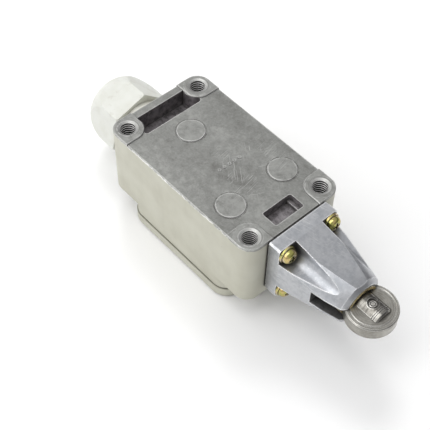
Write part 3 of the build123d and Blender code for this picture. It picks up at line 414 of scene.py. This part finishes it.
    # Painted shade deep in the bolt holes; on the threads, a painted highlight on the crests over
    # painted shade in the roots
    hole_depth_shade = g.rise(g.z, -0.6 * MM, -1.0 * MM)
    colour = g.mix(g.times(bore, hole_depth_shade, 0.6), colour, (0.02, 0.018, 0.02))
    colour = g.mix(threads, colour, g.mix(roots, (0.95, 0.94, 0.92), (0.008, 0.007, 0.008)))
    metallic = g.times(bare_mask, g.rise(hollow_shade, 0.0, 1.0, 0.80, 0.35))
    painted = g.math("SUBTRACT", 1.0, bare_mask)
    roughness = g.math("ADD", g.times(bare_mask, bare_rough), g.times(painted, paint_rough))
    roughness = g.math("SUBTRACT", roughness, g.times(strip, 0.12))
    heights = [
        (peel, 0.02 * MM, 0.25),
        (g.times(bare_mask, grain), 0.06 * MM, 0.55),
        (g.times(lines, bare_mask), -0.02 * MM, 0.4),
    ]
    return g.finish(colour, roughness, metallic, heights, rounding=0.12 * MM)


def cover_material():
    """The casing's paint, chipped along the edges."""
    g = Surface("cover_paint")
    paint, rough, peel = paint_layers(g)
    edge = g.edges(0.35 * MM)
    chips = g.times(edge, g.rise(g.noise(0.002, detail=3.0, seed=75.0), 0.52, 0.62))
    colour = g.mix(g.times(chips, 0.85), paint, (0.48, 0.46, 0.42))
    # Painted shade in hollows
    colour = g.mix(g.times(g.hollows(2.0 * MM), 0.6), colour, (0.10, 0.085, 0.06))
    heights = [(peel, 0.02 * MM, 0.25)]
    return g.finish(colour, rough, g.times(chips, 0.5), heights, rounding=0.2 * MM)


HEAD_LIGHT, HEAD_DARK = (0.57, 0.58, 0.60), (0.41, 0.425, 0.45)
# Wear colour for the head's edges, also its painted edge highlight
HEAD_EDGE_WEAR_AND_GLINT = (0.95, 0.955, 0.96)
HEAD_TIP_X = (57.0 * MM, 63.5 * MM)
SLOT_START_X, SLOT_HALF_Z = 51.5 * MM, 2.68 * MM
# Painted shade colour for the head's hollows and roller slot
HEAD_HOLLOW_SHADE = (0.03, 0.027, 0.025)


def head_material():
    """Tumbled die-cast metal, bluish grey, its edges lightened as burnished wear and as a painted
    highlight, with painted shade in hollows, in the roller slot and towards the tip.
    """
    g = Surface("head_casting")
    broad = g.noise(0.009, detail=3.0, seed=81.0)
    fine = g.noise(0.0016, detail=4.0, roughness=0.7, seed=82.0)
    grain = g.noise(0.0004, detail=2.0, seed=83.0)
    tone = g.math("ADD", g.times(broad, 0.5), g.times(fine, 0.5))
    colour = g.mix(g.rise(tone, 0.35, 0.62), HEAD_DARK, HEAD_LIGHT)
    lines = g.most(
        scratches(g, 0.00025, 15, 26, 85.0, 0.68),
        scratches(g, 0.00025, 80, 20, 87.0, 0.69),
    )
    colour = g.mix(g.times(lines, 0.35), colour, WORN_AND_GLINT)
    specks = g.times(g.rise(g.cells(0.0009, seed=89.0), 0.18, 0.08), g.rise(broad, 0.45, 0.6))
    colour = g.mix(g.times(specks, 0.45), colour, (0.25, 0.25, 0.25))
    # Edges lightened, partly as wear and partly as a painted edge highlight
    edge = g.edges(0.75 * MM, 0.004, 0.07)
    wear_and_glint_patches = g.rise(g.noise(0.004, detail=2.0, seed=91.0), 0.2, 0.4)
    colour = g.mix(g.times(edge, wear_and_glint_patches), colour, HEAD_EDGE_WEAR_AND_GLINT)
    # Painted shade in hollows, deepest in the roller slot
    hollow_shade = g.most(g.hollows(3.0 * MM), g.hollows(8.0 * MM, 0.25, 0.8))
    # Painted shade, darker towards the nose tip
    tip_shade = g.times(g.rise(g.x, *HEAD_TIP_X), g.math("SUBTRACT", 1.0, edge))
    colour = g.mix(g.times(tip_shade, 0.45), colour, (0.24, 0.24, 0.25))
    # Painted shade on the walls of the roller slot
    off_middle = g.math("ABSOLUTE", g.math("SUBTRACT", g.z, AXIS[2]))
    slot_walls = g.times(
        g.rise(off_middle, SLOT_HALF_Z + 0.08 * MM, SLOT_HALF_Z),
        g.rise(g.x, SLOT_START_X, SLOT_START_X + SOFT),
    )
    hollow_shade = g.most(hollow_shade, g.times(slot_walls, g.rise(fine, 0.3, 0.7, 0.95, 0.7)))
    colour = g.mix(g.times(hollow_shade, 0.92), colour, HEAD_HOLLOW_SHADE)
    roughness = g.math("SUBTRACT", g.rise(tone, 0.35, 0.65, 0.42, 0.33), g.times(edge, 0.1))
    metallic = g.rise(hollow_shade, 0.0, 1.0, 0.92, 0.4)
    heights = [(fine, 0.08 * MM, 0.3), (grain, 0.03 * MM, 0.5), (lines, -0.02 * MM, 0.4)]
    return g.finish(colour, roughness, metallic, heights, rounding=0.22 * MM)


# ---------------------------------------------------------------- steel, brass and plating


# Wear colour for steel edges, also their painted edge highlight
STEEL_EDGE_WEAR_AND_GLINT = (0.88, 0.87, 0.83)
# Dark colour for pits, also painted shade in hollows
STEEL_PITS_AND_SHADE = (0.03, 0.026, 0.02)
# Wear colour for plated edges, also their painted edge highlight
PLATED_EDGE_WEAR_AND_GLINT = (0.95, 0.92, 0.84)
# Painted shade colour for plated parts' hollows
PLATED_HOLLOW_SHADE = (0.035, 0.028, 0.012)


def turned_material(name, centre, axis, light, dark, rough, ring=0.35 * MM, edge_wear_and_glint=0.85):
    """Turned steel: fine rings about an axis through centre, along "x" or "z"."""
    g = Surface(name)
    if axis == "z":
        radius, run = g.distance(g.x, g.y, centre[:2]), g.z
    else:
        radius, run = g.distance(g.y, g.z, centre[1:]), g.x
    rings = g.add("ShaderNodeCombineXYZ")
    g.link(radius, rings.inputs[0])
    g.link(run, rings.inputs[1])
    marks = g.noise(ring, detail=4.0, roughness=0.7, source=rings.outputs[0], seed=0.5)
    broad_rings = g.noise(6 * ring, detail=2.0, source=rings.outputs[0], seed=1.5)
    blotches = g.noise(0.0035, detail=4.0, roughness=0.65, seed=101.0)
    pores = g.times(g.rise(g.cells(0.0007, seed=103.0), 0.22, 0.1), g.rise(blotches, 0.45, 0.6))
    ring_tone = g.math("ADD", g.times(marks, 0.35), g.times(broad_rings, 0.2))
    tone = g.math("ADD", ring_tone, g.times(blotches, 0.45))
    colour = g.mix(g.rise(tone, 0.36, 0.64), dark, light)
    colour = g.mix(g.times(pores, 0.5), colour, STEEL_PITS_AND_SHADE)
    # Edges lightened, partly as wear and partly as a painted edge highlight
    edge = g.edges(0.5 * MM, 0.004, 0.08)
    colour = g.mix(g.times(edge, edge_wear_and_glint), colour, STEEL_EDGE_WEAR_AND_GLINT)
    # Painted shade in hollows
    hollow_shade = g.hollows(1.6 * MM, 0.3, 0.85)
    colour = g.mix(g.times(hollow_shade, 0.8), colour, STEEL_PITS_AND_SHADE)
    roughness = g.rise(tone, 0.35, 0.65, rough[1], rough[0])
    metallic = g.rise(hollow_shade, 0.0, 1.0, 0.9, 0.4)
    heights = [(marks, 0.03 * MM, 0.5), (blotches, 0.05 * MM, 0.2)]
    return g.finish(colour, roughness, metallic, heights, rounding=0.1 * MM)


def plated_material(name, tints, roughness, seed, patch=0.0016, hollow_shade_amount=0.7):
    """Plated metal whose tint drifts between three colours."""
    g = Surface(name)
    first = g.noise(patch, detail=2.0, seed=seed + 1.0)
    second = g.noise(patch * 0.8, detail=3.0, seed=seed + 5.0)
    colour = g.mix(g.rise(first, 0.40, 0.58), tints[0], tints[1])
    colour = g.mix(g.rise(second, 0.52, 0.66), colour, tints[2])
    # Edges lightened, partly as wear and partly as a painted edge highlight
    edge = g.edges(0.25 * MM, 0.008, 0.15)
    colour = g.mix(g.times(edge, 0.6), colour, PLATED_EDGE_WEAR_AND_GLINT)
    # Painted shade in hollows
    hollow_shade = g.hollows(0.9 * MM, 0.35, 0.95)
    colour = g.mix(g.times(hollow_shade, hollow_shade_amount), colour, PLATED_HOLLOW_SHADE)
    rough = g.rise(second, 0.3, 0.7, roughness, roughness + 0.14)
    fine = g.noise(0.0005, detail=2.0, seed=seed + 9.0)
    metallic = g.rise(hollow_shade, 0.0, 1.0, 0.95, 0.5)
    return g.finish(colour, rough, metallic, [(fine, 0.02 * MM, 0.3)], rounding=0.1 * MM)


# ---------------------------------------------------------------- rubber, plastic and label

RUBBER, RUBBER_DUST = (0.018, 0.017, 0.016), (0.075, 0.07, 0.062)
SMUDGE = (0.35, 0.31, 0.24)


def rubber_material():
    """Dusty black rubber."""
    g = Surface("black_rubber")
    dust = g.rise(g.noise(0.003, detail=4.0, seed=111.0), 0.5, 0.75)
    fine = g.noise(0.0004, detail=2.0, seed=112.0)
    colour = g.mix(g.times(dust, 0.5), RUBBER, RUBBER_DUST)
    roughness = g.rise(fine, 0.3, 0.7, 0.55, 0.72)
    return g.finish(colour, roughness, heights=[(fine, 0.03 * MM, 0.4)])


def moulded_material(name, base, shade, rough, seed, smudge=SMUDGE):
    """Moulded plastic with faint flow clouds, smudges and soft edges."""
    g = Surface(name)
    clouds = g.noise(0.007, detail=3.0, seed=seed + 1.0)
    fine = g.noise(0.0006, detail=2.0, seed=seed + 2.0)
    smudges = g.rise(g.noise(0.0045, detail=4.0, roughness=0.7, seed=seed + 3.0), 0.56, 0.74)
    colour = g.mix(g.rise(clouds, 0.35, 0.65), base, shade)
    colour = g.mix(g.times(smudges, 0.3), colour, smudge)
    # Painted shade in hollows, a darker copy of the smudge colour
    hollow_shade = g.hollows(2.0 * MM)
    colour = g.mix(g.times(hollow_shade, 0.35), colour, [0.4 * part for part in smudge])
    unevenness = g.math("ADD", g.times(clouds, 0.6), g.times(fine, 0.4))
    roughness = g.rise(unevenness, 0.35, 0.65, *rough)
    heights = [(clouds, 0.05 * MM, 0.15), (fine, 0.02 * MM, 0.35)]
    return g.finish(colour, roughness, heights=heights, rounding=0.2 * MM)


LABEL_HALF_X, LABEL_HALF_Y = 13.0 * MM, 9.5 * MM
LABEL_LINE = 0.15 * MM
LABEL_BORDER = 1.2 * MM
LABEL_RULES_Y = (2.4 * MM, 5.2 * MM)
LABEL_SOFT = 0.03 * MM


def label_material():
    """Blank satin plate with a printed border and ruled lines."""
    g = Surface("label_aluminium")
    across, along = g.math("ABSOLUTE", g.x), g.math("ABSOLUTE", g.y)
    brushed = g.noise(0.0004, detail=3.0, stretch=(30, 1, 1), seed=121.0)
    colour = g.mix(g.rise(brushed, 0.35, 0.65), (0.52, 0.52, 0.51), (0.68, 0.68, 0.67))
    border_x, border_y = LABEL_HALF_X - LABEL_BORDER, LABEL_HALF_Y - LABEL_BORDER
    frame_x = g.inside(across, border_x - LABEL_LINE, border_x + LABEL_LINE, LABEL_SOFT)
    frame_y = g.inside(along, border_y - LABEL_LINE, border_y + LABEL_LINE, LABEL_SOFT)
    in_x = g.rise(across, border_x + 2 * LABEL_LINE, border_x + LABEL_LINE)
    in_y = g.rise(along, border_y + 2 * LABEL_LINE, border_y + LABEL_LINE)
    rules = [g.inside(along, y - LABEL_LINE, y + LABEL_LINE, LABEL_SOFT) for y in LABEL_RULES_Y]
    ink = g.times(g.most(frame_x, frame_y, *rules), in_x, in_y)
    colour = g.mix(g.times(ink, 0.9), colour, (0.03, 0.035, 0.05))
    metallic = g.rise(ink, 0.0, 1.0, 0.85, 0.0)
    roughness = g.rise(brushed, 0.3, 0.7, 0.38, 0.5)
    return g.finish(colour, roughness, metallic, [(brushed, 0.01 * MM, 0.4)])


# ---------------------------------------------------------------- material of each node


def centre_of(node):
    """The centre of a node's box."""
    low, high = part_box(node)
    return [(low[i] + high[i]) / 2 for i in range(3)]


AXIS = centre_of("roller")
GOLD = ((0.60, 0.46, 0.20), (0.44, 0.42, 0.13), (0.62, 0.50, 0.34))
ZINC = ((0.62, 0.63, 0.65), (0.54, 0.55, 0.56), (0.66, 0.66, 0.62))
BRASS = ((0.74, 0.58, 0.22), (0.62, 0.46, 0.16), (0.80, 0.68, 0.32))
COPPER = ((0.70, 0.42, 0.27), (0.60, 0.33, 0.20), (0.74, 0.50, 0.34))
SILVER = ((0.84, 0.84, 0.82), (0.72, 0.71, 0.67), (0.88, 0.87, 0.84))
SPRING = ((0.34, 0.34, 0.34), (0.26, 0.26, 0.27), (0.42, 0.41, 0.39))

materials = {
    "housing_casting": housing_material(),
    "cover_paint": cover_material(),
    "head_casting": head_material(),
    "black_rubber": rubber_material(),
    "label_aluminium": label_material(),
    "roller_steel": turned_material(
        "roller_steel", AXIS, "z", (0.50, 0.485, 0.44), (0.24, 0.23, 0.205), (0.26, 0.4)
    ),
    "plunger_steel": turned_material(
        "plunger_steel", AXIS, "x", (0.27, 0.26, 0.235), (0.035, 0.032, 0.027), (0.16, 0.28),
        ring=0.9 * MM, edge_wear_and_glint=0.4,
    ),
    "pin_steel": turned_material(
        "pin_steel", AXIS, "z", (0.72, 0.70, 0.66), (0.40, 0.37, 0.33), (0.18, 0.3)
    ),
    "yellow_zinc_steel": plated_material(
        "yellow_zinc_steel", GOLD, 0.14, 131.0, patch=0.003, hollow_shade_amount=0.95
    ),
    "zinc_steel": plated_material("zinc_steel", ZINC, 0.24, 141.0),
    "brass": plated_material("brass", BRASS, 0.22, 151.0, patch=0.003, hollow_shade_amount=0.35),
    "copper_alloy": plated_material("copper_alloy", COPPER, 0.26, 161.0, patch=0.004),
    "silver": plated_material("silver", SILVER, 0.2, 171.0),
    "spring_steel": plated_material(
        "spring_steel", SPRING, 0.25, 181.0, patch=0.004, hollow_shade_amount=0.4
    ),
    "switch_plastic": moulded_material(
        "switch_plastic", (0.035, 0.033, 0.032), (0.05, 0.047, 0.044), (0.36, 0.5), 191.0,
        smudge=(0.12, 0.11, 0.10),
    ),
    "switch_cover_plastic": moulded_material(
        "switch_cover_plastic", (0.16, 0.03, 0.025), (0.12, 0.025, 0.02), (0.2, 0.32), 201.0,
        smudge=(0.2, 0.12, 0.1),
    ),
    "button_plastic": moulded_material(
        "button_plastic", (0.55, 0.06, 0.045), (0.45, 0.05, 0.04), (0.24, 0.36), 211.0,
        smudge=(0.3, 0.1, 0.08),
    ),
    "gland_plastic": moulded_material(
        "gland_plastic", (0.68, 0.68, 0.63), (0.63, 0.62, 0.56), (0.34, 0.48), 221.0
    ),
    "gland_nut_plastic": moulded_material(
        "gland_nut_plastic", (0.71, 0.72, 0.675), (0.66, 0.665, 0.61), (0.38, 0.52), 231.0
    ),
    "gland_ring_plastic": moulded_material(
        "gland_ring_plastic", (0.62, 0.61, 0.55), (0.56, 0.55, 0.49), (0.4, 0.5), 241.0
    ),
}

slots = {row["node"]: row["material_slot"] for row in frame["record"]["subparts"]}
for name, node in nodes.items():
    material = materials[slots[name]]
    if not node.material_slots:
        node.data.materials.append(material)
    for slot in node.material_slots:
        slot.material = material

# ---------------------------------------------------------------- springs


STEPS_PER_TURN = 28
WIRE_SIDES = 10
CLOSED_TURNS = 0.8
CLOSED_PITCH = 0.3


def spring(name, node, body, wire, turns):
    """A compression spring in place of its CAD coil, with closed end turns.

    wire is the wire's radius.
    """
    low, high = (Vector(corner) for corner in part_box(node))
    middle = (low + high) / 2
    coil_r = (high.y - low.y) / 2 - wire
    start, end = low.x + wire, high.x - wire
    steps = STEPS_PER_TURN * turns
    total, lifts = 0.0, []
    for step in range(steps + 1):
        turn = step * turns / steps
        lifts.append(total)
        total += CLOSED_PITCH if min(turn, turns - turn) < CLOSED_TURNS else 1.0
    ring_points, faces = [], []
    for step, lift in enumerate(lifts):
        angle = 2 * math.pi * turns * step / steps
        outward = Vector((0, math.cos(angle), math.sin(angle)))
        on_axis = Vector((start + (end - start) * lift / lifts[-1], middle.y, middle.z))
        centre = on_axis + coil_r * outward
        for side in range(WIRE_SIDES):
            around = 2 * math.pi * side / WIRE_SIDES
            offset = math.cos(around) * outward + math.sin(around) * Vector((1, 0, 0))
            ring_points.append(centre + wire * offset)
    for step in range(steps):
        for side in range(WIRE_SIDES):
            a = step * WIRE_SIDES + side
            b = step * WIRE_SIDES + (side + 1) % WIRE_SIDES
            faces.append((a, a + WIRE_SIDES, b + WIRE_SIDES, b))
    faces.append(tuple(range(WIRE_SIDES)))
    faces.append(tuple(reversed(range(steps * WIRE_SIDES, (steps + 1) * WIRE_SIDES))))
    mesh = bpy.data.meshes.new(name)
    mesh.from_pydata([tuple(point) for point in ring_points], [], faces)
    mesh.materials.append(materials["spring_steel"])
    for face in mesh.polygons:
        face.use_smooth = len(face.vertices) == 4
    piece = bpy.data.objects.new(name, mesh)
    scene.collection.objects.link(piece)
    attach(piece, body)
    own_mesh(piece)
    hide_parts(node)


spring(
    "return_coil", "return_spring", "root",
    wire=0.5 * MM, turns=6,
)
spring(
    "overtravel_coil", "overtravel_spring", "push_rod",
    wire=0.28 * MM, turns=4,
)
spring(
    "contact_coil", "contact_spring", "contact_bridge",
    wire=0.25 * MM, turns=4,
)
spring(
    "button_coil", "button_return_spring", "root",
    wire=0.25 * MM, turns=4,
)

# ---------------------------------------------------------------- floor, light and surroundings

FLOOR_HALF = 2.5
FLOOR_GAP = 0.02 * MM
FLOOR_TINTS = ((0.97, 0.97, 0.966), (0.98, 0.98, 0.977))

floor_mesh = bpy.data.meshes.new("floor")
floor_z = cad_low[2] - FLOOR_GAP
corners = [(-1, -1), (1, -1), (1, 1), (-1, 1)]
floor_points = [(x * FLOOR_HALF, y * FLOOR_HALF, floor_z) for x, y in corners]
floor_mesh.from_pydata(floor_points, [], [(0, 1, 2, 3)])
floor = bpy.data.objects.new("floor", floor_mesh)
scene.collection.objects.link(floor)

paper = Surface("floor_paper")
paper.shader.inputs["Roughness"].default_value = 0.9
paper.shader.inputs["Specular IOR Level"].default_value = 0.1
clouds = paper.noise(0.05, detail=2.0, seed=251.0)
floor_mesh.materials.append(paper.finish(paper.mix(clouds, *FLOOR_TINTS)))

# Brightness of the room by height, from the horizon to straight up
ROOM_LEVELS = [(0.0, 0.60), (0.4, 0.60), (0.8, 0.57), (1.0, 0.60)]
BLUE_TINT = 1.01
FAR_SIDE = (0.42, 0.9, 0.0)
FAR_SIDE_COLOUR = (0.22, 0.22, 0.23)
BACKDROP_COLOUR = (0.90, 0.90, 0.90)

world = bpy.data.worlds.new("studio")
world.use_nodes = True
scene.world = world
background = world.node_tree.nodes["Background"]
room = Graph(world.node_tree, "Generated")
fade = room.add("ShaderNodeValToRGB")
room.link(room.z, fade.inputs[0])
ramp = fade.color_ramp.elements
ramp[0].position, ramp[1].position = ROOM_LEVELS[0][0], ROOM_LEVELS[-1][0]
for place, _ in ROOM_LEVELS[1:-1]:
    ramp.new(place)
for element, (_, level) in zip(ramp, ROOM_LEVELS):
    element.color = (level, level, BLUE_TINT * level, 1.0)

# The far side of the room, low down towards +X and +Y, is darker
low_down = room.rise(room.z, 0.66, 0.4)
far_side = room.add("ShaderNodeVectorMath", operation="DOT_PRODUCT")
room.link(room.place, far_side.inputs[0])
room.link(FAR_SIDE, far_side.inputs[1])
far_fade = room.rise(far_side.outputs["Value"], 0.05, 0.55)
lighting = room.mix(room.times(low_down, far_fade), fade.outputs[0], FAR_SIDE_COLOUR)

# Where the background itself shows, it is nearly as pale as the floor
seen = room.add("ShaderNodeLightPath").outputs["Is Camera Ray"]
room.link(room.mix(seen, lighting, BACKDROP_COLOUR), background.inputs[0])
background.inputs[1].default_value = 1.0

LIGHT_TARGET = (0.0, 0.0, -0.02)


def softbox(name, place, size, power, glossy=True):
    """A rectangular area light facing the object. Without glossy it isn't seen in reflections."""
    light = bpy.data.lights.new(name, "AREA")
    light.shape = "RECTANGLE"
    light.size, light.size_y = size
    light.energy = power
    lamp = bpy.data.objects.new(name, light)
    lamp.location = place
    lamp.visible_glossy = glossy
    facing = Vector(LIGHT_TARGET) - Vector(place)
    lamp.rotation_euler = facing.to_track_quat("-Z", "Y").to_euler()
    scene.collection.objects.link(lamp)


softbox("key", (-0.5, 0.42, 0.95), (0.4, 0.4), 3.4, glossy=False)
softbox("back_fill", (-0.8, 0.1, 0.9), (1.0, 1.0), 2.0)
softbox("left_fill", (-0.3, -0.9, 0.5), (0.8, 0.5), 2.0)
softbox("overhead", (-0.12, -0.40, 0.90), (0.45, 0.85), 3.2)
